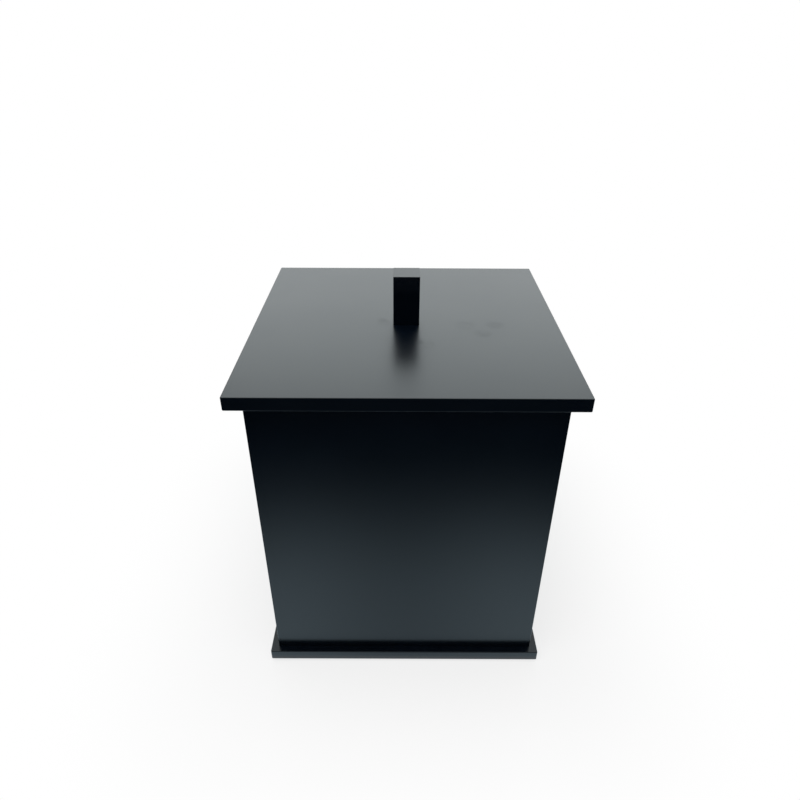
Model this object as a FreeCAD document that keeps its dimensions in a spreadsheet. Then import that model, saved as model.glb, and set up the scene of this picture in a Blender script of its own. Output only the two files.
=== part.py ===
"""Lidded donation box of satin black acrylic sheet.

Four mitred walls stand in a groove of a thick base plate, which has four rubber feet. A thick lid plate lies
loose on the walls. Four lip strips under it drop inside the walls and keep it in place. A square post, held
on the middle of the lid by a screw from below, is its handle.

Frame: millimetres, +Z up, the front towards -Y. The origin is the middle of the footprint, on the table.
"""

import FreeCAD, Part
import enum
import math
import os
import Sketcher
from FreeCAD import Placement, Rotation, Vector

# Driving dimensions in millimetres: alias, value, meaning
DIMENSIONS = [
    ("body_side", 228, "outside of the walled body, square in plan"),
    ("wall_thick", 6, "sheet of the four walls"),
    ("wall_rise", 261.5, "walls above the base plate, up to the lid"),
    ("wall_corner", 0.6, "radius of the body's upright corners"),
    ("rim_break", 0.3, "chamfer on the edges of the walls' rim"),
    ("base_thick", 10, "sheet of the base plate"),
    ("base_ledge", 6.5, "base plate beyond the walls, all round"),
    ("groove_depth", 3, "walls let into the base plate"),
    ("groove_gap", 0.15, "cement gap on each side of a wall in its groove"),
    ("lid_thick", 10.5, "sheet of the lid plate"),
    ("lid_overhang", 10.8, "lid plate beyond the walls, all round"),
    ("plate_corner", 1.1, "radius of the upright corners of lid and base plate"),
    ("plate_edge", 0.6, "radius of the upper and lower edges of lid and base plate"),
    ("lip_thick", 6, "sheet of the lip strips"),
    ("lip_drop", 12, "lip strips below the lid plate"),
    ("lip_gap", 1, "clearance of the lip strips inside the walls"),
    ("lip_corner", 2.5, "radius of the upright corners of the lip frame"),
    ("lip_lead", 1.5, "lead-in chamfer on the lower outer edge of a lip strip"),
    ("handle_side", 21.2, "handle post, square in plan"),
    ("handle_height", 41.4, "handle post above the lid"),
    ("handle_edge", 0.3, "radius of the post's upright and upper edges"),
    ("screw_diameter", 4, "machine screw that holds the post"),
    ("screw_reach", 10, "screw inside the post"),
    ("screw_tip", 0.5, "chamfer on the end of the screw"),
    ("screw_hole_gap", 0.25, "clearance round the screw in lid plate and washer"),
    ("thread_gap", 0.05, "clearance round the screw in its insert"),
    ("head_diameter", 7.6, "button head of the screw"),
    ("head_height", 2.2, "button head of the screw"),
    ("head_round", 1.6, "radius of the button head's lower edge"),
    ("socket_width", 2.5, "hexagon socket, across flats"),
    ("socket_depth", 1.3, "hexagon socket"),
    ("washer_diameter", 9, "washer under the screw head"),
    ("washer_thick", 0.8, "washer under the screw head"),
    ("insert_diameter", 6, "threaded insert in the post"),
    ("insert_length", 8, "threaded insert in the post"),
    ("insert_waist", 2, "width of the glue groove round the insert"),
    ("insert_waist_depth", 0.4, "depth of the glue groove round the insert"),
    ("insert_gap", 0.05, "clearance round the insert in its hole"),
    ("hole_spare", 2, "hole beyond the end of the insert or the screw"),
    ("foot_diameter", 16, "rubber foot"),
    ("foot_height", 2.5, "rubber foot"),
    ("foot_edge", 0.8, "radius of the foot's lower edge"),
    ("foot_inset", 22, "middle of a foot from the edges of the base plate"),
]

# Sizes and levels that follow from the driving dimensions
BASE_SIDE = "dims.body_side + 2 * dims.base_ledge"
LID_SIDE = "dims.body_side + 2 * dims.lid_overhang"
LIP_SIDE = "dims.body_side - 2 * dims.wall_thick - 2 * dims.lip_gap"
GROOVE_OUTSIDE = "dims.body_side + 2 * dims.groove_gap"
GROOVE_INSIDE = "dims.body_side - 2 * dims.wall_thick - 2 * dims.groove_gap"
WALL_HEIGHT = "dims.wall_rise + dims.groove_depth"
SCREW_HOLE = "dims.screw_diameter + 2 * dims.screw_hole_gap"
THREAD_BORE = "dims.screw_diameter + 2 * dims.thread_gap"
SHANK_LENGTH = "dims.washer_thick + dims.lid_thick + dims.screw_reach"
SOCKET_ROUND = "dims.socket_width / cos(30 deg)"
POST_HOLE = "dims.insert_diameter + 2 * dims.insert_gap"
POST_HOLE_DEPTH = "max(dims.insert_length; dims.screw_reach) + dims.hole_spare"
WAIST_LOWER = "(dims.insert_length - dims.insert_waist) / 2"
WAIST_INSIDE = "dims.insert_diameter - 2 * dims.insert_waist_depth"
WAIST_OUTSIDE = "2 * dims.insert_diameter"
FOOT_REACH = "dims.body_side / 2 + dims.base_ledge - dims.foot_inset"

BASE_UNDERSIDE = "dims.foot_height"
BASE_TOP = BASE_UNDERSIDE + " + dims.base_thick"
GROOVE_FLOOR = BASE_TOP + " - dims.groove_depth"
LID_UNDERSIDE = BASE_TOP + " + dims.wall_rise"
LID_TOP = LID_UNDERSIDE + " + dims.lid_thick"
LIP_LOWER = LID_UNDERSIDE + " - dims.lip_drop"
WASHER_LOWER = LID_UNDERSIDE + " - dims.washer_thick"
HEAD_LOWER = WASHER_LOWER + " - dims.head_height"

# The four sides of the box, each with the turn that brings the front one there
SIDES = [("front", 0), ("right", 90), ("back", 180), ("left", 270)]
CORNERS = [("front_left", -1, -1), ("front_right", 1, -1), ("back_left", -1, 1), ("back_right", 1, 1)]

NEAR = 1e-4


class Axis(enum.IntEnum):
    """A sketch's own axes, by their numbers."""

    X = -1
    Y = -2


class Spot(enum.IntEnum):
    """The points of a sketched curve, by their numbers."""

    START = 1
    END = 2
    MIDDLE = 3


ORIGIN = (Axis.X, Spot.START)


def make_sheet(doc):
    """Puts the driving dimensions on a sheet, one alias to a row."""
    sheet = doc.addObject("Spreadsheet::Sheet", "dims")
    for row, (alias, value, meaning) in enumerate(DIMENSIONS, start=1):
        sheet.set(f"A{row}", alias)
        sheet.set(f"B{row}", str(value))
        sheet.set(f"C{row}", meaning)
        sheet.setAlias(f"B{row}", alias)
    doc.recompute()


def new_body(doc, label, level, turn=0):
    """An empty body for one piece, raised to its level and turned about the upright axis of the box."""
    body = doc.addObject("PartDesign::Body", label)
    body.Label = label
    body.Placement = Placement(Vector(), Rotation(Vector(0, 0, 1), turn))
    body.setExpression("Placement.Base.z", level)
    return body


def new_sketch(body, name, height=None):
    """A sketch on the body's own level plane, or at a height above it."""
    plane = next(f for f in body.Origin.OriginFeatures if f.Role == "XY_Plane")
    sketch = body.newObject("Sketcher::SketchObject", name)
    sketch.AttachmentSupport = [(plane, "")]
    sketch.MapMode = "FlatFace"
    if height:
        sketch.setExpression("AttachmentOffset.Base.z", height)
    return sketch


def millimetres(sketch, expression):
    """What an expression on the sheet comes to."""
    return float(sketch.evalExpression(expression))


def drive(sketch, kind, where, expression):
    """Adds a dimension to a sketch and binds it to the sheet."""
    number = sketch.addConstraint(Sketcher.Constraint(kind, *where, millimetres(sketch, expression)))
    sketch.setExpression(f"Constraints[{number}]", expression)


def join_ends(sketch, curves):
    """Joins each curve's end to the start of the next."""
    for curve, following in zip(curves, curves[1:]):
        sketch.addConstraint(Sketcher.Constraint("Coincident", curve, Spot.END, following, Spot.START))


def add_square(sketch, side):
    """Draws a square about the origin."""
    reach = millimetres(sketch, side) / 2
    corners = [Vector(-reach, -reach), Vector(reach, -reach), Vector(reach, reach), Vector(-reach, reach)]
    lines = [sketch.addGeometry(Part.LineSegment(a, b)) for a, b in zip(corners, corners[1:] + corners[:1])]
    join_ends(sketch, lines + lines[:1])
    for level, upright in (lines[:2], lines[2:]):
        sketch.addConstraint(Sketcher.Constraint("Horizontal", level))
        sketch.addConstraint(Sketcher.Constraint("Vertical", upright))
    across = (lines[0], Spot.START, lines[2], Spot.START)
    sketch.addConstraint(Sketcher.Constraint("Symmetric", *across, *ORIGIN))
    drive(sketch, "DistanceX", (lines[0], Spot.START, lines[0], Spot.END), side)
    drive(sketch, "DistanceY", (lines[1], Spot.START, lines[1], Spot.END), side)


def add_circle(sketch, diameter):
    """Draws a circle about the origin."""
    circle = sketch.addGeometry(Part.Circle(Vector(), Vector(0, 0, 1), millimetres(sketch, diameter) / 2))
    sketch.addConstraint(Sketcher.Constraint("Coincident", circle, Spot.MIDDLE, *ORIGIN))
    drive(sketch, "Diameter", (circle,), diameter)
    return circle


def add_hexagon(sketch, round_diameter):
    """Draws a hexagon in a guide circle about the origin."""
    circle = add_circle(sketch, round_diameter)
    sketch.setConstruction(circle, True)
    radius = millimetres(sketch, round_diameter) / 2
    turns = [math.pi * i / 3 for i in range(6)]
    corners = [Vector(radius * math.cos(turn), radius * math.sin(turn)) for turn in turns]
    lines = [sketch.addGeometry(Part.LineSegment(a, b)) for a, b in zip(corners, corners[1:] + corners[:1])]
    join_ends(sketch, lines + lines[:1])
    for line in lines:
        sketch.addConstraint(Sketcher.Constraint("PointOnObject", line, Spot.START, circle))
    for line in lines[1:]:
        sketch.addConstraint(Sketcher.Constraint("Equal", lines[0], line))
    sketch.addConstraint(Sketcher.Constraint("PointOnObject", lines[0], Spot.START, Axis.X))


def add_mitred_strip(sketch, side, thick, corner):
    """Draws the plan of the front strip of a square frame.

    Both ends are cut on the frame's diagonals, and each takes its half of the rounded corner.
    """
    reach = millimetres(sketch, side) / 2
    inner = reach - millimetres(sketch, thick)
    radius = millimetres(sketch, corner)
    flat = reach - radius
    tip = flat + radius * math.sqrt(0.5)
    upright = Vector(0, 0, 1)
    right_round = Part.Circle(Vector(flat, -flat), upright, radius)
    left_round = Part.Circle(Vector(-flat, -flat), upright, radius)
    outside = sketch.addGeometry(Part.LineSegment(Vector(-flat, -reach), Vector(flat, -reach)))
    right_arc = sketch.addGeometry(Part.ArcOfCircle(right_round, -math.pi / 2, -math.pi / 4))
    right_mitre = sketch.addGeometry(Part.LineSegment(Vector(tip, -tip), Vector(inner, -inner)))
    inside = sketch.addGeometry(Part.LineSegment(Vector(inner, -inner), Vector(-inner, -inner)))
    left_mitre = sketch.addGeometry(Part.LineSegment(Vector(-inner, -inner), Vector(-tip, -tip)))
    left_arc = sketch.addGeometry(Part.ArcOfCircle(left_round, -3 * math.pi / 4, -math.pi / 2))
    join_ends(sketch, [right_arc, right_mitre, inside, left_mitre, left_arc])
    sketch.addConstraint(Sketcher.Constraint("Tangent", outside, Spot.END, right_arc, Spot.START))
    sketch.addConstraint(Sketcher.Constraint("Tangent", left_arc, Spot.END, outside, Spot.START))
    for line in (outside, inside):
        sketch.addConstraint(Sketcher.Constraint("Symmetric", line, Spot.START, line, Spot.END, Axis.Y))
    for mitre, arc in ((right_mitre, right_arc), (left_mitre, left_arc)):
        sketch.addConstraint(Sketcher.Constraint("PointOnObject", *ORIGIN, mitre))
        sketch.addConstraint(Sketcher.Constraint("PointOnObject", arc, Spot.MIDDLE, mitre))
    sketch.addConstraint(Sketcher.Constraint("Perpendicular", right_mitre, left_mitre))
    drive(sketch, "DistanceY", (outside, Spot.START, *ORIGIN), f"({side}) / 2")
    drive(sketch, "DistanceY", (outside, Spot.START, inside, Spot.START), thick)
    drive(sketch, "Radius", (right_arc,), corner)


def pad(body, sketch, length):
    """Raises a sketch into a solid."""
    feature = body.newObject("PartDesign::Pad", sketch.Name + "_pad")
    feature.Profile = sketch
    feature.setExpression("Length", length)
    body.Document.recompute()
    return feature


def cut(body, sketch, depth, upward=False):
    """Sinks a sketch into the solid, downward unless told otherwise, and makes sure that it cuts."""
    before = body.Shape.Volume
    feature = body.newObject("PartDesign::Pocket", sketch.Name + "_cut")
    feature.Profile = sketch
    feature.Reversed = upward
    feature.setExpression("Length", depth)
    body.Document.recompute()
    if body.Shape.Volume > before - NEAR:
        raise RuntimeError(f"{feature.Name} cuts nothing")
    return feature


def soften(body, kind, size, wanted):
    """Rounds or chamfers the edges of the solid that pass a test."""
    base = body.Tip
    edges = [f"Edge{i}" for i, edge in enumerate(base.Shape.Edges, start=1) if wanted(edge)]
    if not edges:
        raise RuntimeError(f"{body.Label} has no edge to soften")
    feature = body.newObject("PartDesign::" + kind, f"{body.Label}_{kind.lower()}")
    feature.Base = (base, edges)
    feature.setExpression("Radius" if kind == "Fillet" else "Size", size)
    body.Document.recompute()
    return feature


def is_upright(edge):
    """Whether an edge stands parallel to Z."""
    box = edge.BoundBox
    return box.ZLength > NEAR and box.XLength < NEAR and box.YLength < NEAR


def is_level(edge):
    """Whether an edge lies flat."""
    return edge.BoundBox.ZLength < NEAR


def is_at(edge, height):
    """Whether an edge lies flat at a height."""
    return is_level(edge) and abs(edge.BoundBox.ZMin - height) < NEAR


def is_on_mitre(edge):
    """Whether the middle of an edge is on a diagonal of the box."""
    middle = edge.CenterOfMass
    return abs(abs(middle.x) - abs(middle.y)) < NEAR


def make_plate(doc, label, side, thick, level):
    """A square plate with rounded corners and softened edges."""
    body = new_body(doc, label, level)
    outline = new_sketch(body, label + "_outline")
    add_square(outline, side)
    pad(body, outline, thick)
    soften(body, "Fillet", "dims.plate_corner", is_upright)
    soften(body, "Fillet", "dims.plate_edge", is_level)
    return body


def make_base_plate(doc):
    """The base plate, with the groove that the walls stand in."""
    body = make_plate(doc, "base_plate", BASE_SIDE, "dims.base_thick", BASE_UNDERSIDE)
    groove = new_sketch(body, "base_groove", height="dims.base_thick")
    add_square(groove, GROOVE_OUTSIDE)
    add_square(groove, GROOVE_INSIDE)
    cut(body, groove, "dims.groove_depth")
    return body


def make_wall(doc, side, turn):
    """One wall, from the floor of the groove to the rim."""
    body = new_body(doc, side + "_wall", GROOVE_FLOOR, turn)
    plan = new_sketch(body, side + "_wall_plan")
    add_mitred_strip(plan, "dims.body_side", "dims.wall_thick", "dims.wall_corner")
    pad(body, plan, WALL_HEIGHT)
    rim = millimetres(plan, WALL_HEIGHT)
    soften(body, "Chamfer", "dims.rim_break", lambda edge: is_at(edge, rim) and not is_on_mitre(edge))
    return body


def make_foot(doc, corner, across, along):
    """One rubber foot under a corner of the base plate."""
    body = new_body(doc, "foot_" + corner, "0")
    body.setExpression("Placement.Base.x", f"{across} * ({FOOT_REACH})")
    body.setExpression("Placement.Base.y", f"{along} * ({FOOT_REACH})")
    disc = new_sketch(body, f"foot_{corner}_disc")
    add_circle(disc, "dims.foot_diameter")
    pad(body, disc, "dims.foot_height")
    soften(body, "Fillet", "dims.foot_edge", lambda edge: is_at(edge, 0))
    return body


def make_lid_plate(doc):
    """The lid plate, with the hole for the screw of the handle."""
    body = make_plate(doc, "lid_plate", LID_SIDE, "dims.lid_thick", LID_UNDERSIDE)
    hole = new_sketch(body, "lid_hole", height="dims.lid_thick")
    add_circle(hole, SCREW_HOLE)
    cut(body, hole, "dims.lid_thick")
    return body


def make_lip(doc, side, turn):
    """One lip strip, cemented under the lid plate just inside a wall."""
    label = "lid_lip_" + side
    body = new_body(doc, label, LIP_LOWER, turn)
    plan = new_sketch(body, label + "_plan")
    add_mitred_strip(plan, LIP_SIDE, "dims.lip_thick", "dims.lip_corner")
    pad(body, plan, "dims.lip_drop")
    outer = -millimetres(plan, LIP_SIDE) / 2 + millimetres(plan, "dims.lip_corner")
    soften(
        body,
        "Chamfer",
        "dims.lip_lead",
        lambda edge: is_at(edge, 0) and edge.BoundBox.YMax < outer + NEAR and not is_on_mitre(edge),
    )
    return body


def make_handle_post(doc):
    """The square post on the lid, with the blind hole for its insert."""
    body = new_body(doc, "handle_post", LID_TOP)
    plan = new_sketch(body, "handle_plan")
    add_square(plan, "dims.handle_side")
    pad(body, plan, "dims.handle_height")
    top = millimetres(plan, "dims.handle_height")
    soften(body, "Fillet", "dims.handle_edge", lambda edge: is_upright(edge) or is_at(edge, top))
    hole = new_sketch(body, "handle_hole")
    add_circle(hole, POST_HOLE)
    cut(body, hole, POST_HOLE_DEPTH, upward=True)
    return body


def make_handle_insert(doc):
    """The threaded insert glued into the post, with a groove round it for the glue."""
    body = new_body(doc, "handle_insert", LID_TOP)
    ring = new_sketch(body, "insert_ring")
    add_circle(ring, "dims.insert_diameter")
    add_circle(ring, THREAD_BORE)
    pad(body, ring, "dims.insert_length")
    waist = new_sketch(body, "insert_waist", height=WAIST_LOWER)
    add_circle(waist, WAIST_OUTSIDE)
    add_circle(waist, WAIST_INSIDE)
    cut(body, waist, "dims.insert_waist", upward=True)
    return body


def make_handle_screw(doc):
    """The button-head screw that comes up through the lid into the post."""
    body = new_body(doc, "handle_screw", HEAD_LOWER)
    head = new_sketch(body, "screw_head")
    add_circle(head, "dims.head_diameter")
    pad(body, head, "dims.head_height")
    soften(body, "Fillet", "dims.head_round", lambda edge: is_at(edge, 0))
    shank = new_sketch(body, "screw_shank", height="dims.head_height")
    add_circle(shank, "dims.screw_diameter")
    pad(body, shank, SHANK_LENGTH)
    end = millimetres(shank, "dims.head_height + " + SHANK_LENGTH)
    soften(body, "Chamfer", "dims.screw_tip", lambda edge: is_at(edge, end))
    socket = new_sketch(body, "screw_socket")
    add_hexagon(socket, SOCKET_ROUND)
    cut(body, socket, "dims.socket_depth", upward=True)
    return body


def make_handle_washer(doc):
    """The washer between the screw head and the lid."""
    body = new_body(doc, "handle_washer", WASHER_LOWER)
    ring = new_sketch(body, "washer_ring")
    add_circle(ring, "dims.washer_diameter")
    add_circle(ring, SCREW_HOLE)
    pad(body, ring, "dims.washer_thick")
    return body


def check(doc, pieces):
    """Stops if any object failed, or if a piece isn't one valid solid."""
    for item in doc.Objects:
        if "Invalid" in item.State or "Error" in item.State:
            raise RuntimeError(f"{item.Name} failed: {item.State}")
    for piece in pieces:
        shape = piece.Shape
        if shape.isNull() or not shape.isValid() or len(shape.Solids) != 1:
            raise RuntimeError(f"{piece.Label} is not one valid solid")


def main():
    """Builds the box piece by piece and writes each one to its own file."""
    doc = FreeCAD.newDocument("donation_box")
    make_sheet(doc)
    pieces = [make_base_plate(doc)]
    pieces += [make_wall(doc, side, turn) for side, turn in SIDES]
    pieces += [make_foot(doc, corner, across, along) for corner, across, along in CORNERS]
    pieces += [make_lid_plate(doc)]
    pieces += [make_lip(doc, side, turn) for side, turn in SIDES]
    pieces += [make_handle_post(doc), make_handle_insert(doc)]
    pieces += [make_handle_screw(doc), make_handle_washer(doc)]
    doc.recompute()
    check(doc, pieces)
    os.makedirs("parts", exist_ok=True)
    for piece in pieces:
        piece.Shape.exportStep(f"parts/{piece.Label}.step")
        box = piece.Shape.BoundBox
        print(f"{piece.Label}: z {box.ZMin:.2f} to {box.ZMax:.2f} mm, {piece.Shape.Volume / 1000:.3f} cm3")


main()
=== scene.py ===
"""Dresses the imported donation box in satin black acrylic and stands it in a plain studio.

Units are metres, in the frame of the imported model: +Z up, the front towards -Y, the origin in the middle of
the footprint, on the floor. The sheets, strips, post and feet are modelled here over their solids, with the
same edges in finer steps, and the feet get dished undersides. The fastenings keep their solids and get a
finish.
"""

import logging
import math
from collections.abc import Callable
from dataclasses import dataclass, field
from enum import Enum, IntEnum
from typing import Any

import bpy
from mathutils import Matrix, Vector


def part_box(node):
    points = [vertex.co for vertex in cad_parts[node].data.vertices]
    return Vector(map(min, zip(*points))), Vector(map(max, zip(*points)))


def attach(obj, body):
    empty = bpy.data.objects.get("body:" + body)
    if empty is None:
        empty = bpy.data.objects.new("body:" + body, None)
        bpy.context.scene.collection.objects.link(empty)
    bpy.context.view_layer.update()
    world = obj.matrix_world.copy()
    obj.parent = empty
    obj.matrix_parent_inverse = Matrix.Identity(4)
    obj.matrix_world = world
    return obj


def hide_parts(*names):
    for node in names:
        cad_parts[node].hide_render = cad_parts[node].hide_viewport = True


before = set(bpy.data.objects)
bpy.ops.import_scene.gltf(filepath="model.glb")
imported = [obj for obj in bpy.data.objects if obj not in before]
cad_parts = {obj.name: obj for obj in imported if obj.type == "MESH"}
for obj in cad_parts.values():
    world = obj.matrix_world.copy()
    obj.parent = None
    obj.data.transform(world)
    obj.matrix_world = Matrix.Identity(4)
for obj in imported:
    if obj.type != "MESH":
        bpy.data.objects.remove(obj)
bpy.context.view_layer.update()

Colour = tuple[float, float, float]
Span = tuple[float, float]
CornerTest = Callable[[list[Vector]], bool]

MM = 0.001
NEAR = 0.01 * MM
PLASTIC_IOR = 1.52
log = logging.getLogger("donation_box")


class Body(Enum):
    """The two bodies that pieces ride on."""

    BOX = "box"
    LID = "lid"


class Slot(Enum):
    """Names of the record's material slots for the modelled pieces; the finish itself is given as a material.
    """

    ACRYLIC = "satin_black_acrylic"
    RUBBER = "black_rubber"


class Side(Enum):
    """The four sides of the box, each with the turn in degrees that brings the front one there."""

    FRONT = 0
    RIGHT = 90
    BACK = 180
    LEFT = 270

    @property
    def word(self) -> str:
        """The side's name in lower case."""
        return self.name.lower()


class Element(Enum):
    """What is selected on a mesh."""

    EDGE = "EDGE"
    FACE = "FACE"


class MixSocket(IntEnum):
    """The numbers of a Mix node's three inputs and one output for colours."""

    SHARE = 0
    FIRST = 6
    SECOND = 7
    MIXED = 2


def opaque(colour: Colour) -> tuple[float, float, float, float]:
    """A colour with the full alpha that a colour socket asks for."""
    return (*colour, 1.0)


class Value:
    """A number that changes over a surface. Sums and products of it become Math nodes."""

    def __init__(self, sheet: "NodeSheet", socket: bpy.types.NodeSocket) -> None:
        """Wraps an output socket of a node sheet."""
        self.sheet = sheet
        self.socket = socket

    def __add__(self, other: "Value | float") -> "Value":
        """The sum of two values."""
        return self.sheet.maths("ADD", self, other)

    def __radd__(self, other: float) -> "Value":
        """The sum of a number and a value."""
        return self.sheet.maths("ADD", other, self)

    def __sub__(self, other: "Value | float") -> "Value":
        """What is left of a value when another is taken away."""
        return self.sheet.maths("SUBTRACT", self, other)

    def __rsub__(self, other: float) -> "Value":
        """What is left of a number when a value is taken away."""
        return self.sheet.maths("SUBTRACT", other, self)

    def __mul__(self, other: "Value | float") -> "Value":
        """The product of two values."""
        return self.sheet.maths("MULTIPLY", self, other)

    def __rmul__(self, other: float) -> "Value":
        """The product of a number and a value."""
        return self.sheet.maths("MULTIPLY", other, self)

    def __pow__(self, power: float) -> "Value":
        """A value raised to a power."""
        return self.sheet.maths("POWER", self, power)

    def __abs__(self) -> "Value":
        """The size of a value without its sign."""
        return self.sheet.maths("ABSOLUTE", self)

    def least(self, floor: float) -> "Value":
        """The value, or a floor where it is lower."""
        return self.sheet.maths("MAXIMUM", self, floor)

    def ease(self, low: float, high: float) -> "Value":
        """Rises smoothly from 0 where the value is low to 1 where it is high.

        Args:
            low: Where the rise begins.
            high: Where it ends.

        Returns:
            The eased value.
        """
        settings = {"interpolation_type": "SMOOTHSTEP"}
        sockets = {"Value": self, "From Min": low, "From Max": high}
        made = self.sheet.node("ShaderNodeMapRange", settings, sockets)
        return Value(self.sheet, made.outputs["Result"])


class NodeSheet:
    """The node tree of one material or of the world, filled from expressions."""

    finer_share: float = 0.55

    def __init__(self, owner: bpy.types.Material | bpy.types.World) -> None:
        """Empties the owner's node tree.

        Args:
            owner: The material or the world.
        """
        owner.use_nodes = True
        self.tree = owner.node_tree
        self.tree.nodes.clear()

    def node(
        self, kind: str, settings: dict[str, Any] | None = None, sockets: dict[str | int, Any] | None = None
    ) -> bpy.types.Node:
        """Adds a node.

        Args:
            kind: The node's type.
            settings: Its own settings, which are set first.
            sockets: Values or links of its inputs, by name or number.

        Returns:
            The node.
        """
        made = self.tree.nodes.new(kind)
        for name, setting in (settings or {}).items():
            setattr(made, name, setting)
        for key, given in (sockets or {}).items():
            source = given.socket if isinstance(given, Value) else given
            if isinstance(source, bpy.types.NodeSocket):
                self.tree.links.new(source, made.inputs[key])
            else:
                made.inputs[key].default_value = source
        return made

    def maths(self, operation: str, *terms: Value | float) -> Value:
        """Adds a Math node.

        Args:
            operation: What it does.
            terms: Its one or two terms.

        Returns:
            The result.
        """
        made = self.node("ShaderNodeMath", {"operation": operation}, dict(enumerate(terms)))
        return Value(self, made.outputs[0])

    def place(self) -> bpy.types.NodeSocket:
        """The place on the piece, in metres."""
        return self.node("ShaderNodeTexCoord").outputs["Object"]

    def axes(self, vector: bpy.types.NodeSocket) -> list[Value]:
        """The three parts of a vector."""
        split = self.node("ShaderNodeSeparateXYZ", sockets={0: vector})
        return [Value(self, output) for output in split.outputs]

    def noise(
        self, grain: float, detail: float = 2.0, stretch: tuple[float, float, float] = (1.0, 1.0, 1.0)
    ) -> Value:
        """Adds a cloudy pattern.

        Args:
            grain: The size of its clouds, in metres.
            detail: How many finer layers it has, each with finer_share of the strength of the last.
            stretch: How much longer the clouds are along each axis.

        Returns:
            The pattern, about 0.5 in the middle.
        """
        scale = [1 / (grain * longer) for longer in stretch]
        spread = self.node("ShaderNodeMapping", sockets={"Vector": self.place(), "Scale": scale})
        sockets = {"Vector": spread.outputs[0], "Scale": 1.0, "Detail": detail, "Roughness": self.finer_share}
        return Value(self, self.node("ShaderNodeTexNoise", sockets=sockets).outputs[0])

    def blend(
        self, share: Value, first: Colour | bpy.types.NodeSocket, second: Colour
    ) -> bpy.types.NodeSocket:
        """Mixes two colours.

        Args:
            share: How much of the second colour there is.
            first: The first colour, or a mixture.
            second: The second colour.

        Returns:
            The mixed colour.
        """
        start = first if isinstance(first, bpy.types.NodeSocket) else opaque(first)
        sockets = {MixSocket.SHARE: share, MixSocket.FIRST: start, MixSocket.SECOND: opaque(second)}
        return self.node("ShaderNodeMix", {"data_type": "RGBA"}, sockets).outputs[MixSocket.MIXED]

    def bump(self, height: Value, depth: float) -> bpy.types.NodeSocket:
        """A surface direction disturbed by a height from 0 to 1 that stands for a depth in metres."""
        made = self.node("ShaderNodeBump", sockets={"Height": height, "Distance": depth, "Strength": 1.0})
        return made.outputs[0]

    def surface(self, shader: bpy.types.Node) -> None:
        """Makes a shader the surface of the material or the world."""
        owner = "World" if shader.bl_idname == "ShaderNodeBackground" else "Material"
        self.node("ShaderNodeOutput" + owner, sockets={"Surface": shader.outputs[0]})


@dataclass(frozen=True)
class Finish:
    """What every finish has: a name, a colour and a roughness."""

    name: str
    colour: Colour
    roughness: float

    def sheet(self) -> tuple[bpy.types.Material, NodeSheet]:
        """A new material with this finish's name, and its empty node sheet."""
        material = bpy.data.materials.new(self.name)
        return material, NodeSheet(material)


@dataclass(frozen=True)
class Mark:
    """A faint finger mark on the lid: its middle, half length, half width, turn in degrees and strength."""

    x: float
    y: float
    half_length: float
    half_width: float
    turn: float
    strength: float

    def mask(self, across: Value, along: Value) -> Value:
        """How much of the mark there is at a place.

        Args:
            across: The place along X.
            along: The place along Y.

        Returns:
            The mark's strength in its middle, 0 outside it.
        """
        cosine = math.cos(math.radians(self.turn))
        sine = math.sin(math.radians(self.turn))
        over = (across - self.x) * (cosine / self.half_length) + (along - self.y) * (sine / self.half_length)
        beside = (along - self.y) * (cosine / self.half_width) - (across - self.x) * (sine / self.half_width)
        return (1 - (over * over + beside * beside).ease(0.0, 1.0)) * self.strength


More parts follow.
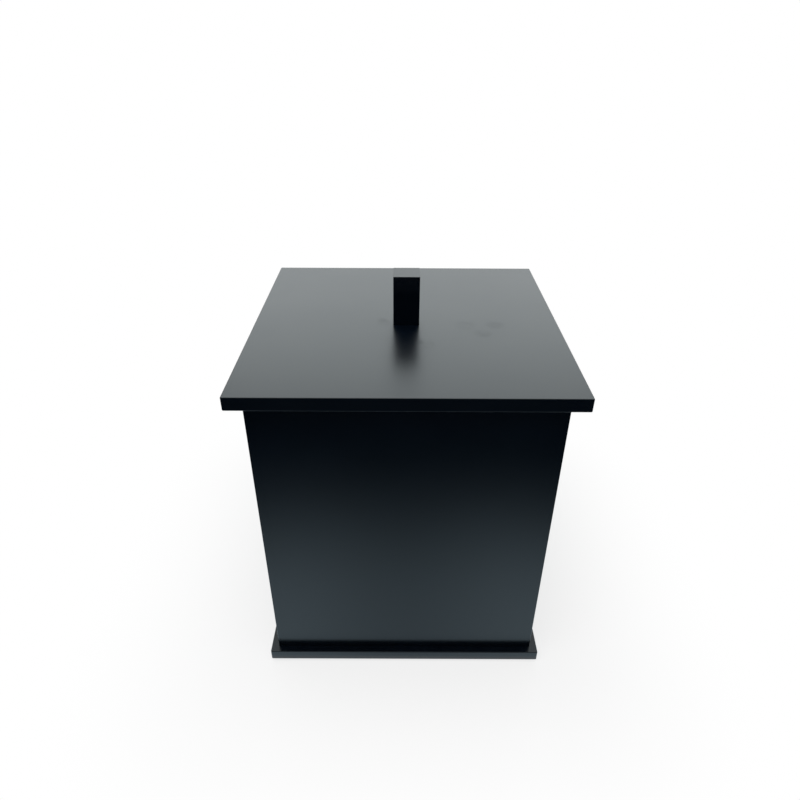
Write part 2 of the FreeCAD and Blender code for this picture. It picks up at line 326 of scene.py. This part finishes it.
@dataclass(frozen=True)
class SatinAcrylic(Finish):
    """Black acrylic sheet with a fine satin texture, cloudy and rubbed with hairlines.

    Where their values are given, finger marks lie on its top, a lighter, bluer tone gathers low on its edge,
    partly dust and partly a painted reflection of the bright floor, and its sawn top is more matt than the
    rest.
    """

    cloudy_colour: Colour = (0.0004, 0.0019, 0.0048)
    sheen: Colour = (0.90, 0.985, 1.0)
    cloud_size: float = 60 * MM
    cloud_layers: float = 3.0
    cloud_span: Span = (0.3, 0.7)
    cloud_roughness: float = 0.035
    grain_size: float = 0.35 * MM
    grain_depth: float = 0.004 * MM
    hairline_width: float = 0.25 * MM
    hairline_stretch: float = 90.0
    hairline_layers: float = 1.0
    hairline_span: Span = (0.66, 0.8)
    cross_span: Span = (0.68, 0.8)
    hairline_roughness: float = 0.02
    marks: tuple[Mark, ...] = ()
    mark_low: float = 0.0
    mark_high: float = 0.0
    mark_roughness: float = 0.063
    smear_size: float = 8 * MM
    smear_layers: float = 0.0
    smear_span: Span = (0.1, 0.7)
    # Partly dust, partly a painted reflection of the bright floor: a lighter, bluer colour low on the base
    # edge.
    dust_and_reflection_colour: Colour = (0.0015, 0.012, 0.024)
    dust_and_reflection_low: float = 0.0
    dust_and_reflection_high: float = 0.0
    dust_and_reflection_size: float = 3 * MM
    dust_and_reflection_layers: float = 4.0
    dust_and_reflection_span: Span = (0.1, 0.6)
    sawn_level: float = 0.0
    sawn_depth: float = 0.2 * MM
    sawn_roughness: float = 0.12

    def hairlines(self, sheet: NodeSheet) -> Value:
        """Fine rubs along and across the sheet.

        Args:
            sheet: The material's node sheet.

        Returns:
            How much of a rub there is, 0 on most of the sheet.
        """
        longer = self.hairline_stretch
        lines = sheet.noise(self.hairline_width, self.hairline_layers, (longer, 1.0, longer))
        cross = sheet.noise(self.hairline_width, self.hairline_layers, (1.0, longer, 1.0))
        return lines.ease(*self.hairline_span) + cross.ease(*self.cross_span)

    def material(self) -> bpy.types.Material:
        """Builds the material.

        Returns:
            The material.
        """
        material, sheet = self.sheet()
        cloud = sheet.noise(self.cloud_size, self.cloud_layers)
        grain = sheet.noise(self.grain_size)
        roughness = self.roughness + (cloud - 0.5) * self.cloud_roughness
        roughness = roughness + self.hairlines(sheet) * self.hairline_roughness
        across, along, up = sheet.axes(sheet.place())
        if self.marks:
            smear = sheet.noise(self.smear_size, self.smear_layers).ease(*self.smear_span)
            on_top = smear * up.ease(self.mark_low, self.mark_high)
            for mark in self.marks:
                roughness = roughness + mark.mask(across, along) * on_top * self.mark_roughness
        if self.sawn_level:
            sawn = up.ease(self.sawn_level - self.sawn_depth, self.sawn_level)
            roughness = roughness + sawn * self.sawn_roughness
        colour = sheet.blend(cloud.ease(*self.cloud_span), self.colour, self.cloudy_colour)
        # Painted reflection and dust: the edge turns lighter and bluer towards its bottom, as if it mirrored
        # the bright floor.
        if self.dust_and_reflection_high:
            dust_and_reflection = sheet.noise(self.dust_and_reflection_size, self.dust_and_reflection_layers).ease(*self.dust_and_reflection_span)
            low_down = 1 - up.ease(self.dust_and_reflection_low, self.dust_and_reflection_high)
            colour = sheet.blend(low_down * dust_and_reflection, colour, self.dust_and_reflection_colour)
        sockets = {
            "Base Color": colour,
            "Roughness": roughness,
            "IOR": PLASTIC_IOR,
            "Specular Tint": opaque(self.sheen),
            "Normal": sheet.bump(grain, self.grain_depth),
        }
        sheet.surface(sheet.node("ShaderNodeBsdfPrincipled", sockets=sockets))
        return material


@dataclass(frozen=True)
class MouldedRubber(Finish):
    """Black moulded rubber with a bloom of dust in its grain."""

    dusty_colour: Colour = (0.040, 0.039, 0.037)
    dust_size: float = 5 * MM
    dust_layers: float = 4.0
    dust_span: Span = (0.45, 0.75)
    grain_size: float = 0.5 * MM
    grain_layers: float = 3.0
    grain_depth: float = 0.03 * MM
    grain_roughness: float = 0.15

    def material(self) -> bpy.types.Material:
        """Builds the material.

        Returns:
            The material.
        """
        material, sheet = self.sheet()
        grain = sheet.noise(self.grain_size, self.grain_layers)
        dust = sheet.noise(self.dust_size, self.dust_layers).ease(*self.dust_span)
        sockets = {
            "Base Color": sheet.blend(dust, self.colour, self.dusty_colour),
            "Roughness": self.roughness + grain * self.grain_roughness,
            "IOR": PLASTIC_IOR,
            "Normal": sheet.bump(grain, self.grain_depth),
        }
        sheet.surface(sheet.node("ShaderNodeBsdfPrincipled", sockets=sockets))
        return material


@dataclass(frozen=True)
class TurnedMetal(Finish):
    """Metal turned on a lathe about the upright axis of the handle."""

    dull_colour: Colour
    wear_size: float = 2 * MM
    wear_layers: float = 3.0
    wear_span: Span = (0.4, 0.8)
    wear_roughness: float = 0.12
    ring_width: float = 0.12 * MM
    ring_depth: float = 0.002 * MM

    def material(self) -> bpy.types.Material:
        """Builds the material.

        Returns:
            The material.
        """
        material, sheet = self.sheet()
        across, along, up = sheet.axes(sheet.place())
        radius = (across * across + along * along) ** 0.5
        rings = sheet.maths("SINE", (radius + up) * (2 * math.pi / self.ring_width))
        wear = sheet.noise(self.wear_size, self.wear_layers)
        sockets = {
            "Base Color": sheet.blend(wear.ease(*self.wear_span), self.colour, self.dull_colour),
            "Metallic": 1.0,
            "Roughness": self.roughness + wear * self.wear_roughness,
            "Normal": sheet.bump(rings * 0.5 + 0.5, self.ring_depth),
        }
        sheet.surface(sheet.node("ShaderNodeBsdfPrincipled", sockets=sockets))
        return material


class Bench:
    """Hand tools that shape one mesh at a time.

    Faces that meet within smooth_angle degrees are shaded as one round, and flat_weight is how firmly large
    faces keep their own direction there.
    """

    smooth_angle: float = 40.0
    flat_weight: int = 100

    @staticmethod
    def block(name: str, low: Vector, high: Vector) -> bpy.types.Object:
        """Adds a rectangular block.

        Args:
            name: The piece's name.
            low: Its lowest corner.
            high: Its highest corner.

        Returns:
            The block, with its place in its mesh.
        """
        bpy.ops.object.select_all(action="DESELECT")
        bpy.ops.mesh.primitive_cube_add(size=1, location=(low + high) / 2)
        made = bpy.context.active_object
        made.name = made.data.name = name
        made.scale = high - low
        bpy.ops.object.transform_apply(location=True, rotation=True, scale=True)
        return made

    @staticmethod
    def disc(name: str, low: Vector, high: Vector, sides: int) -> bpy.types.Object:
        """Adds an upright cylinder.

        Args:
            name: The piece's name.
            low: The lowest corner of the space it fills.
            high: The highest corner of that space.
            sides: How many flat sides stand for the round.

        Returns:
            The cylinder, with its place in its mesh.
        """
        bpy.ops.object.select_all(action="DESELECT")
        radius = (high.x - low.x) / 2
        bpy.ops.mesh.primitive_cylinder_add(
            vertices=sides, radius=radius, depth=high.z - low.z, location=(low + high) / 2
        )
        made = bpy.context.active_object
        made.name = made.data.name = name
        bpy.ops.object.transform_apply(location=True, rotation=True, scale=True)
        return made

    @staticmethod
    def activate(piece: bpy.types.Object) -> None:
        """Selects one piece and nothing else.

        Args:
            piece: The piece.
        """
        bpy.ops.object.select_all(action="DESELECT")
        piece.select_set(True)
        bpy.context.view_layer.objects.active = piece

    @classmethod
    def edit(cls, piece: bpy.types.Object, kind: Element, wanted: CornerTest) -> None:
        """Opens a piece for editing with some of its edges or faces selected.

        Args:
            piece: The piece.
            kind: Whether edges or faces are selected.
            wanted: Whether an edge or face with these corners is selected.
        """
        cls.activate(piece)
        bpy.ops.object.mode_set(mode="EDIT")
        bpy.ops.mesh.select_mode(type=kind.value)
        bpy.ops.mesh.select_all(action="DESELECT")
        bpy.ops.object.mode_set(mode="OBJECT")
        mesh = piece.data
        for element in mesh.edges if kind is Element.EDGE else mesh.polygons:
            element.select = wanted([mesh.vertices[i].co for i in element.vertices])
        bpy.ops.object.mode_set(mode="EDIT")

    @classmethod
    def soften(cls, piece: bpy.types.Object, radius: float, segments: int, wanted: CornerTest) -> None:
        """Rounds edges of a piece.

        Args:
            piece: The piece.
            radius: The radius of the round.
            segments: How many flats stand for the round.
            wanted: Whether an edge with these ends is softened.
        """
        cls.edit(piece, Element.EDGE, wanted)
        bpy.ops.mesh.bevel(
            offset_type="OFFSET", offset=radius, segments=segments, profile=0.5, affect="EDGES"
        )
        bpy.ops.object.mode_set(mode="OBJECT")

    @classmethod
    def subtract(cls, piece: bpy.types.Object, cutter: bpy.types.Object) -> None:
        """Cuts one piece's shape out of another and throws the cutter away.

        Args:
            piece: The piece that is cut.
            cutter: The shape that is cut out of it.
        """
        cls.activate(piece)
        modifier = piece.modifiers.new("cut", "BOOLEAN")
        modifier.operation = "DIFFERENCE"
        modifier.solver = "EXACT"
        modifier.object = cutter
        bpy.ops.object.modifier_apply(modifier=modifier.name)
        bpy.data.objects.remove(cutter)

    @classmethod
    def halve(cls, piece: bpy.types.Object, direction: Vector) -> None:
        """Cuts a piece through the middle of the box and closes the half that it keeps.

        Args:
            piece: The piece.
            direction: Where the kept half lies, square to the cut.
        """
        cls.edit(piece, Element.FACE, lambda corners: True)
        bpy.ops.mesh.bisect(
            plane_co=(0, 0, 0), plane_no=direction, use_fill=True, clear_inner=True, clear_outer=False
        )
        bpy.ops.object.mode_set(mode="OBJECT")

    @classmethod
    def turned_copy(cls, piece: bpy.types.Object, name: str, degrees: float) -> bpy.types.Object:
        """Copies a piece and turns the copy about the upright axis.

        Args:
            piece: The piece to copy.
            name: The copy's name.
            degrees: The turn.

        Returns:
            The copy, with its place in its own mesh.
        """
        copy = bpy.data.objects.new(name, piece.data.copy())
        copy.data.name = name
        bpy.context.collection.objects.link(copy)
        copy.rotation_euler.z = math.radians(degrees)
        cls.activate(copy)
        bpy.ops.object.transform_apply(location=True, rotation=True, scale=True)
        return copy

    @classmethod
    def smooth(cls, piece: bpy.types.Object) -> None:
        """Shades the rounds of a piece smoothly and keeps its flats flat.

        Args:
            piece: The piece.
        """
        cls.activate(piece)
        bpy.ops.object.shade_smooth_by_angle(angle=math.radians(cls.smooth_angle))
        modifier = piece.modifiers.new("flats", "WEIGHTED_NORMAL")
        modifier.keep_sharp = True
        modifier.weight = cls.flat_weight
        bpy.ops.object.modifier_apply(modifier=modifier.name)


def is_upright(ends: list[Vector]) -> bool:
    """Whether an edge stands parallel to Z."""
    return (ends[0] - ends[1]).to_2d().length < NEAR


def is_at(height: float) -> CornerTest:
    """A test for edges and faces that lie at a height."""
    return lambda corners: all(abs(corner.z - height) < NEAR for corner in corners)


@dataclass
class Assembly:
    """A group of pieces that ride on one body."""

    body: Body

    def keep(self, piece: bpy.types.Object, node: str, slot: Slot, finish: bpy.types.Material) -> None:
        """Finishes a new piece and lets it stand for its solid.

        Args:
            piece: The piece.
            node: The name of the solid that it replaces.
            slot: Not used.
            finish: Its material.
        """
        Bench.smooth(piece)
        piece.data.materials.clear()
        piece.data.materials.append(finish)
        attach(piece, self.body.value)
        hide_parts(node)
        log.info("%s stands for %s, with %d faces", piece.name, node, len(piece.data.polygons))

    @staticmethod
    def coat(node: str, finish: bpy.types.Material) -> None:
        """Gives a solid that stays as it is its finish.

        Args:
            node: The solid's name.
            finish: Its material.
        """
        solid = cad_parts[node]
        solid.data.materials.clear()
        solid.data.materials.append(finish)
        log.info("%s keeps its solid", node)


@dataclass
class Sheet:
    """A square plate of sheet with rounded corners and softened edges."""

    node: str
    corner: float = 1.1 * MM
    edge: float = 0.6 * MM
    segments: int = 6

    def build(self) -> bpy.types.Object:
        """Models the plate.

        Returns:
            The plate.
        """
        low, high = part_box(self.node)
        plate = Bench.block(self.node + "_sheet", low, high)
        Bench.soften(plate, self.corner, self.segments, is_upright)
        for level in (low.z, high.z):
            Bench.soften(plate, self.edge, self.segments, is_at(level))
        return plate


@dataclass
class MitredFrame:
    """Four strips round a square, mitred where they meet.

    At break_level, which is its top or its bottom, a strip has its outer edge broken, and its inner edge too
    if break_inside is set.
    """

    side: float
    thick: float
    low: float
    high: float
    corner: float
    break_level: float
    break_size: float
    break_inside: bool
    corner_segments: int = 6
    break_segments: int = 2

    def build(self, name: str) -> bpy.types.Object:
        """Models the strip at the front.

        Args:
            name: The strip's name.

        Returns:
            The strip.
        """
        reach = self.side / 2
        inner = reach - self.thick

        def is_outer(end: Vector) -> bool:
            """Whether a point lies outside the strip's inner face."""
            return end.y < -inner - NEAR

        def is_outer_corner(ends: list[Vector]) -> bool:
            """Whether an edge is one of the strip's outer corners."""
            return is_upright(ends) and is_outer(ends[0])

        def is_broken(ends: list[Vector]) -> bool:
            """Whether an edge is one of those that are broken."""
            return is_at(self.break_level)(ends) and (any(map(is_outer, ends)) or self.break_inside)

        strip = Bench.block(name, Vector((-reach, -reach, self.low)), Vector((reach, -inner, self.high)))
        Bench.soften(strip, self.corner, self.corner_segments, is_outer_corner)
        Bench.soften(strip, self.break_size, self.break_segments, is_broken)
        for direction in (Vector((1, -1, 0)), Vector((-1, -1, 0))):
            Bench.halve(strip, direction)
        return strip


@dataclass
class BoxBody(Assembly):
    """The walled box: base plate, four walls and four rubber feet."""

    body: Body = Body.BOX
    groove_gap: float = 0.15 * MM
    wall_thick: float = 6 * MM
    wall_corner: float = 0.6 * MM
    rim_break: float = 0.3 * MM
    foot_edge: float = 0.8 * MM
    foot_edge_segments: int = 4
    foot_ring: float = 2.6 * MM
    foot_dish: float = 0.7 * MM
    foot_sides: int = 64

    def build_base(self, acrylic: bpy.types.Material) -> None:
        """Models the base plate, with the groove that the walls stand in.

        Args:
            acrylic: Its material.
        """
        base = Sheet("base_plate").build()
        low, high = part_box("front_wall")
        reach = -low.y + self.groove_gap
        inner = -low.y - self.wall_thick - self.groove_gap
        outer_cut = Bench.block("groove", Vector((-reach, -reach, low.z)), Vector((reach, reach, high.z)))
        core = Bench.block("core", Vector((-inner, -inner, 0)), Vector((inner, inner, 2 * high.z)))
        Bench.subtract(outer_cut, core)
        Bench.subtract(base, outer_cut)
        self.keep(base, "base_plate", Slot.ACRYLIC, acrylic)

    def build_walls(self, acrylic: bpy.types.Material) -> None:
        """Models the front wall and turns copies of it to the other sides.

        Args:
            acrylic: The walls' material.
        """
        low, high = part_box("front_wall")
        walls = MitredFrame(
            side=-2 * low.y,
            thick=self.wall_thick,
            low=low.z,
            high=high.z,
            corner=self.wall_corner,
            break_level=high.z,
            break_size=self.rim_break,
            break_inside=True,
        )
        front = walls.build("front_wall_sheet")
        for side in list(Side)[1:]:
            copy = Bench.turned_copy(front, side.word + "_wall_sheet", side.value)
            self.keep(copy, side.word + "_wall", Slot.ACRYLIC, acrylic)
        self.keep(front, "front_wall", Slot.ACRYLIC, acrylic)

    def build_feet(self, rubber: bpy.types.Material) -> None:
        """Models the four feet, each with a dished underside.

        Args:
            rubber: The feet's material.
        """
        for node in (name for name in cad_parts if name.startswith("foot_")):
            low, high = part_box(node)
            foot = Bench.disc(node + "_pad", low, high, self.foot_sides)
            Bench.soften(foot, self.foot_edge, self.foot_edge_segments, is_at(low.z))
            Bench.edit(foot, Element.FACE, is_at(low.z))
            bpy.ops.mesh.inset(thickness=self.foot_ring)
            bpy.ops.transform.translate(value=(0, 0, self.foot_dish))
            bpy.ops.object.mode_set(mode="OBJECT")
            self.keep(foot, node, Slot.RUBBER, rubber)


@dataclass
class Lid(Assembly):
    """The lift-off lid: plate, four lip strips, handle post and its fastening."""

    body: Body = Body.LID
    lip_thick: float = 6 * MM
    lip_corner: float = 2.5 * MM
    lip_lead: float = 1.5 * MM
    post_edge: float = 0.3 * MM
    post_edge_segments: int = 5
    screw_hole: float = 2.25 * MM
    insert_hole: float = 3.05 * MM
    insert_depth: float = 12 * MM
    drill_overrun: float = 1 * MM
    hole_sides: int = 48

    def drill(self, piece: bpy.types.Object, radius: float, low: float, high: float) -> None:
        """Drills a hole up the middle of a piece.

        Args:
            piece: The piece.
            radius: The radius of the hole.
            low: Where the drill starts.
            high: Where it stops.
        """
        corner = Vector((radius, radius, 0))
        start = Vector((0, 0, low)) - corner
        Bench.subtract(piece, Bench.disc("drill", start, Vector((0, 0, high)) + corner, self.hole_sides))

    def build_plate(self, acrylic: bpy.types.Material) -> None:
        """Models the lid plate, with the hole for the screw.

        Args:
            acrylic: Its material.
        """
        low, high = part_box("lid_plate")
        plate = Sheet("lid_plate").build()
        self.drill(plate, self.screw_hole, low.z - self.drill_overrun, high.z + self.drill_overrun)
        self.keep(plate, "lid_plate", Slot.ACRYLIC, acrylic)

    def build_lips(self, acrylic: bpy.types.Material) -> None:
        """Models the front lip strip and turns copies of it to the other sides.

        Args:
            acrylic: The strips' material.
        """
        low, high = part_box("lid_lip_front")
        lips = MitredFrame(
            side=-2 * low.y,
            thick=self.lip_thick,
            low=low.z,
            high=high.z,
            corner=self.lip_corner,
            break_level=low.z,
            break_size=self.lip_lead,
            break_inside=False,
        )
        front = lips.build("lid_lip_front_strip")
        for side in list(Side)[1:]:
            copy = Bench.turned_copy(front, f"lid_lip_{side.word}_strip", side.value)
            self.keep(copy, "lid_lip_" + side.word, Slot.ACRYLIC, acrylic)
        self.keep(front, "lid_lip_front", Slot.ACRYLIC, acrylic)

    def build_handle(self, acrylic: bpy.types.Material) -> None:
        """Models the handle post, with the blind hole for its insert.

        Args:
            acrylic: Its material.
        """
        low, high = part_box("handle_post")

        def is_softened(ends: list[Vector]) -> bool:
            """Whether an edge is upright or on the post's top."""
            return is_upright(ends) or is_at(high.z)(ends)

        post = Bench.block("handle_post_block", low, high)
        Bench.soften(post, self.post_edge, self.post_edge_segments, is_softened)
        self.drill(post, self.insert_hole, low.z - self.drill_overrun, low.z + self.insert_depth)
        self.keep(post, "handle_post", Slot.ACRYLIC, acrylic)


@dataclass(frozen=True)
class Softbox:
    """A soft rectangular lamp.

    Its brightness is that of its face, where 1 is white. A mirrored one also shows in the sheen of the box.
    """

    name: str
    place: tuple[float, float, float]
    target: tuple[float, float, float]
    width: float
    height: float
    brightness: float
    colour: Colour
    mirrored: bool

    def hang(self) -> None:
        """Hangs the lamp and points it at its target."""
        data = bpy.data.lights.new(self.name, "AREA")
        data.shape = "RECTANGLE"
        data.size = self.width
        data.size_y = self.height
        data.energy = self.brightness * math.pi * self.width * self.height
        data.color = self.colour
        lamp = bpy.data.objects.new(self.name, data)
        lamp.location = self.place
        aim = Vector(self.target) - lamp.location
        lamp.rotation_euler = aim.to_track_quat("-Z", "Y").to_euler()
        lamp.visible_glossy = self.mirrored
        bpy.context.collection.objects.link(lamp)


@dataclass
class Studio:
    """A pale floor, a white surround, two soft lamps and cards of painted shade that only the satin sheet
    mirrors.

    The base plate reaches base_reach from the middle along X and Y, and its shadow and the floor card start
    from there.
    """

    base_reach: float
    floor_reach: float = 5.0
    floor_sink: float = 0.1 * MM
    floor_colour: Colour = (0.95, 0.95, 0.95)
    fill: float = 0.42
    cool: Colour = (0.885, 0.98, 1.0)
    neutral: Colour = (1.0, 1.0, 1.0)
    # Painted cool shade: the tint of the floor as mirrored through the clear part of the floor card.
    painted_cool_tint: Colour = (0.73, 0.89, 1.0)
    # Painted shade: the dark colour the cards show in the box's reflections.
    painted_shade_colour: Colour = (0.0, 0.010, 0.025)
    shadow_reach: float = 0.2
    shadow_lift: float = 0.7
    card_height: float = 0.4 * MM
    card_gap: float = 4.5 * MM
    card_reach: float = 1.2
    card_falloff: float = 0.183
    card_power: float = 2.8
    # Painted shadow of the box: how much darker the floor card is in front of each wall's middle.
    painted_box_shadow: float = 0.22
    # The front card is painted shade for the dim room in front of the box, seen only in reflections.
    front_card_away: float = 1.3
    front_card_width: float = 5.0
    front_card_top: float = 2.6
    front_card_fade: Span = (1.6, 2.5)

    def build(self) -> None:
        """Sets the world, the floor, the cards and the lamps."""
        self.set_world()
        self.add_floor()
        self.add_floor_card()
        self.add_front_card()
        Softbox(
            "back_softbox",
            place=(0.05, 2.128, 1.369),
            target=(0.0, 0.0, 0.28),
            width=2.2,
            height=1.0,
            brightness=1.27,
            colour=self.cool,
            mirrored=True,
        ).hang()
        Softbox(
            "top_softbox",
            place=(-0.3, -0.6, 2.2),
            target=(0.0, 0.0, 0.0),
            width=2.2,
            height=2.2,
            brightness=2.1,
            colour=self.neutral,
            mirrored=False,
        ).hang()

    @staticmethod
    def seen(sheet: NodeSheet) -> Value:
        """Tells what is seen, straight or in a mirror or through glass, from light on a surface.

        Args:
            sheet: The node sheet that asks.

        Returns:
            1 for what is seen and 0 for light on a surface.
        """
        path = sheet.node("ShaderNodeLightPath")
        rays = [Value(sheet, path.outputs[f"Is {kind} Ray"]) for kind in ("Camera", "Glossy", "Transmission")]
        return sheet.maths("MINIMUM", rays[0] + rays[1] + rays[2], 1.0)

    def set_world(self) -> None:
        """Makes the surround white to the eye and a soft fill for light."""
        world = bpy.data.worlds.new("studio")
        bpy.context.scene.world = world
        sheet = NodeSheet(world)
        fill = tuple(part * self.fill for part in self.neutral)
        colour = sheet.blend(self.seen(sheet), fill, self.neutral)
        sheet.surface(sheet.node("ShaderNodeBackground", sockets={"Color": colour, "Strength": 1.0}))

    @staticmethod
    def plane(name: str, centre: Vector, width: float, height: float, upright: bool) -> bpy.types.Object:
        """Adds a plain card or floor to the stage.

        Args:
            name: Its name.
            centre: Its middle.
            width: Its size along X.
            height: Its size along Y, or along Z if it is upright.
            upright: Whether it stands up.

        Returns:
            The card.
        """
        bpy.ops.object.select_all(action="DESELECT")
        turn = (math.pi / 2 if upright else 0, 0, 0)
        bpy.ops.mesh.primitive_plane_add(size=1, location=centre, rotation=turn)
        card = bpy.context.active_object
        card.name = card.data.name = name
        card.scale = (width, height, 1)
        bpy.ops.object.transform_apply(location=True, rotation=True, scale=True)
        return card

    def away(self, across: Value, along: Value) -> Value:
        """How far a place on the floor is from the base plate.

        Args:
            across: The place along X.
            along: The place along Y.

        Returns:
            The distance, 0 under the plate.
        """
        beside = (abs(across) - self.base_reach).least(0.0)
        before = (abs(along) - self.base_reach).least(0.0)
        return (beside * beside + before * before) ** 0.5

    def add_floor(self) -> None:
        """Lays the pale floor, which turns as white as the surround far away."""
        side = 2 * self.floor_reach
        floor = self.plane("floor", Vector((0, 0, -self.floor_sink)), side, side, False)
        material = bpy.data.materials.new("pale_floor")
        sheet = NodeSheet(material)
        across, along, _ = sheet.axes(sheet.place())
        spread = self.away(across, along).ease(0.0, self.shadow_reach)
        far = self.shadow_lift + spread * (1 - self.shadow_lift)
        paint = sheet.node("ShaderNodeBsdfDiffuse", sockets={"Color": opaque(self.floor_colour)})
        white = sheet.node("ShaderNodeEmission", sockets={"Color": opaque(self.neutral), "Strength": 1.0})
        sockets = {0: far * self.seen(sheet), 1: paint.outputs[0], 2: white.outputs[0]}
        sheet.surface(sheet.node("ShaderNodeMixShader", sockets=sockets))
        floor.data.materials.append(material)

    @staticmethod
    def only_mirrored(card: bpy.types.Object) -> None:
        """Lets a card show in the sheen of the box and nowhere else.

        Args:
            card: The card.
        """
        card.visible_camera = False
        card.visible_diffuse = False
        card.visible_shadow = False
        card.visible_transmission = False

    def painted_shade_card(self, sheet: NodeSheet, cover: Value, clear_colour: Colour) -> None:
        """Makes a card of painted shade where it is covered, and clear or tinted where it isn't.

        Args:
            sheet: The card's node sheet.
            cover: How much of a place is painted shade, from 0 to 1.
            clear_colour: The tint of what is seen through the rest.
        """
        # Painted shade: a dark glow that stands in for shade, seen only in the box's reflections.
        black = sheet.node("ShaderNodeEmission", sockets={"Color": opaque(self.painted_shade_colour)})
        clear = sheet.node("ShaderNodeBsdfTransparent", sockets={"Color": opaque(clear_colour)})
        sockets = {0: cover, 1: clear.outputs[0], 2: black.outputs[0]}
        sheet.surface(sheet.node("ShaderNodeMixShader", sockets=sockets))

    def add_floor_card(self) -> None:
        """Lays a card of painted shade round the box, seen only in reflections, that darkens away from it and
        more in front of each wall's middle as a painted shadow of the box, so that the walls shade off
        upwards.
        """
        side = 2 * self.card_reach
        card = self.plane("floor_card", Vector((0, 0, self.card_height)), side, side, False)
        Bench.edit(card, Element.FACE, lambda corners: True)
        bpy.ops.mesh.inset(thickness=self.card_reach - self.base_reach - self.card_gap)
        bpy.ops.mesh.delete(type="FACE")
        bpy.ops.object.mode_set(mode="OBJECT")
        material = bpy.data.materials.new("floor_card")
        sheet = NodeSheet(material)
        across, along, _ = sheet.axes(sheet.place())
        # Painted shade: the card darkens away from the box, where the floor in front lies in shade.
        away = self.away(across, along) * (1 / self.card_falloff)
        # Painted shadow of the box: the card is darker in front of the middle of each wall.
        middle = 1 - sheet.maths("MINIMUM", abs(across), abs(along)).ease(0.0, self.base_reach)
        clear = sheet.maths("EXPONENT", away ** self.card_power * -1) * (1 - middle * self.painted_box_shadow)
        # The clear part tints the mirrored floor with a painted cool shade.
        self.painted_shade_card(sheet, 1 - clear, self.painted_cool_tint)
        card.data.materials.append(material)
        self.only_mirrored(card)

    def add_front_card(self) -> None:
        """Stands a card of painted shade, seen only in reflections, on the floor behind the camera, clear
        towards its top.
        """
        centre = Vector((0, -self.front_card_away, self.front_card_top / 2))
        card = self.plane("front_card", centre, self.front_card_width, self.front_card_top, True)
        material = bpy.data.materials.new("front_card")
        sheet = NodeSheet(material)
        _, _, up = sheet.axes(sheet.place())
        # Painted shade: the dark lower part stands in for the dim room in front, seen only in reflections.
        self.painted_shade_card(sheet, 1 - up.ease(*self.front_card_fade), self.neutral)
        card.data.materials.append(material)
        self.only_mirrored(card)


@dataclass
class Viewpoint:
    """Where the camera stands, how it is turned in degrees, and its lens in millimetres."""

    place: Vector = field(default_factory=lambda: Vector((-0.0053, -0.4716, 0.4997)))
    down: float = 31.95
    aside: float = 0.06
    roll: float = 0.276
    lens: float = 27.70

    def build(self) -> None:
        """Adds the camera."""
        down, aside, roll = (math.radians(angle) for angle in (self.down, self.aside, self.roll))
        ahead = Vector((math.sin(aside) * math.cos(down), math.cos(aside) * math.cos(down), -math.sin(down)))
        right = Vector((math.cos(aside), -math.sin(aside), 0))
        up = right.cross(ahead)
        rolled_right = right * math.cos(roll) + up * math.sin(roll)
        rolled_up = up * math.cos(roll) - right * math.sin(roll)
        data = bpy.data.cameras.new("camera")
        data.lens = self.lens
        camera = bpy.data.objects.new("camera", data)
        turn = Matrix((rolled_right, rolled_up, -ahead)).transposed()
        camera.matrix_world = Matrix.Translation(self.place) @ turn.to_4x4()
        bpy.context.collection.objects.link(camera)
        bpy.context.scene.camera = camera


def main() -> None:
    """Builds the box, the lid and the studio in order."""
    logging.basicConfig(level=logging.INFO, format="%(name)s: %(message)s")
    bpy.context.scene.view_settings.view_transform = "Standard"
    black = (0.0002, 0.0014, 0.0036)
    satin = 0.24
    rubbed_satin = 0.30
    finger_marks = (
        Mark(x=-19.0 * MM, y=-5.0 * MM, half_length=7 * MM, half_width=11 * MM, turn=20.0, strength=1.0),
        Mark(x=49.0 * MM, y=-9.5 * MM, half_length=10 * MM, half_width=12 * MM, turn=0.0, strength=0.6),
        Mark(x=61.2 * MM, y=-25.5 * MM, half_length=9 * MM, half_width=9 * MM, turn=-20.0, strength=0.9),
        Mark(x=72.6 * MM, y=-9.8 * MM, half_length=10 * MM, half_width=9 * MM, turn=30.0, strength=0.7),
        Mark(x=14.1 * MM, y=-45.0 * MM, half_length=9 * MM, half_width=11 * MM, turn=10.0, strength=1.4),
    )
    acrylic = SatinAcrylic("satin_black_acrylic", black, satin).material()
    base_low, base_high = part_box("base_plate")
    base_acrylic = SatinAcrylic(
        "satin_black_acrylic_base", black, satin, dust_and_reflection_low=base_low.z, dust_and_reflection_high=base_high.z
    ).material()
    lid_low, lid_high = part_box("lid_plate")
    lid_acrylic = SatinAcrylic(
        "satin_black_acrylic_lid",
        black,
        rubbed_satin,
        marks=finger_marks,
        mark_low=lid_low.z,
        mark_high=lid_high.z,
    ).material()
    post_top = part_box("handle_post")[1].z
    post_acrylic = SatinAcrylic("satin_black_acrylic_post", black, satin, sawn_level=post_top).material()
    rubber = MouldedRubber("black_rubber", colour=(0.018, 0.018, 0.018), roughness=0.6).material()
    steel = TurnedMetal(
        "turned_steel", colour=(0.62, 0.62, 0.63), roughness=0.28, dull_colour=(0.45, 0.45, 0.46)
    ).material()
    brass = TurnedMetal(
        "turned_brass", colour=(0.80, 0.58, 0.27), roughness=0.25, dull_colour=(0.55, 0.38, 0.17)
    ).material()
    box = BoxBody()
    box.build_base(base_acrylic)
    box.build_walls(acrylic)
    box.build_feet(rubber)
    lid = Lid()
    lid.build_plate(lid_acrylic)
    lid.build_lips(acrylic)
    lid.build_handle(post_acrylic)
    lid.coat("handle_insert", brass)
    lid.coat("handle_screw", steel)
    lid.coat("handle_washer", steel)
    Studio(base_reach=base_high.x).build()
    Viewpoint().build()


if __name__ == "__main__":
    main()
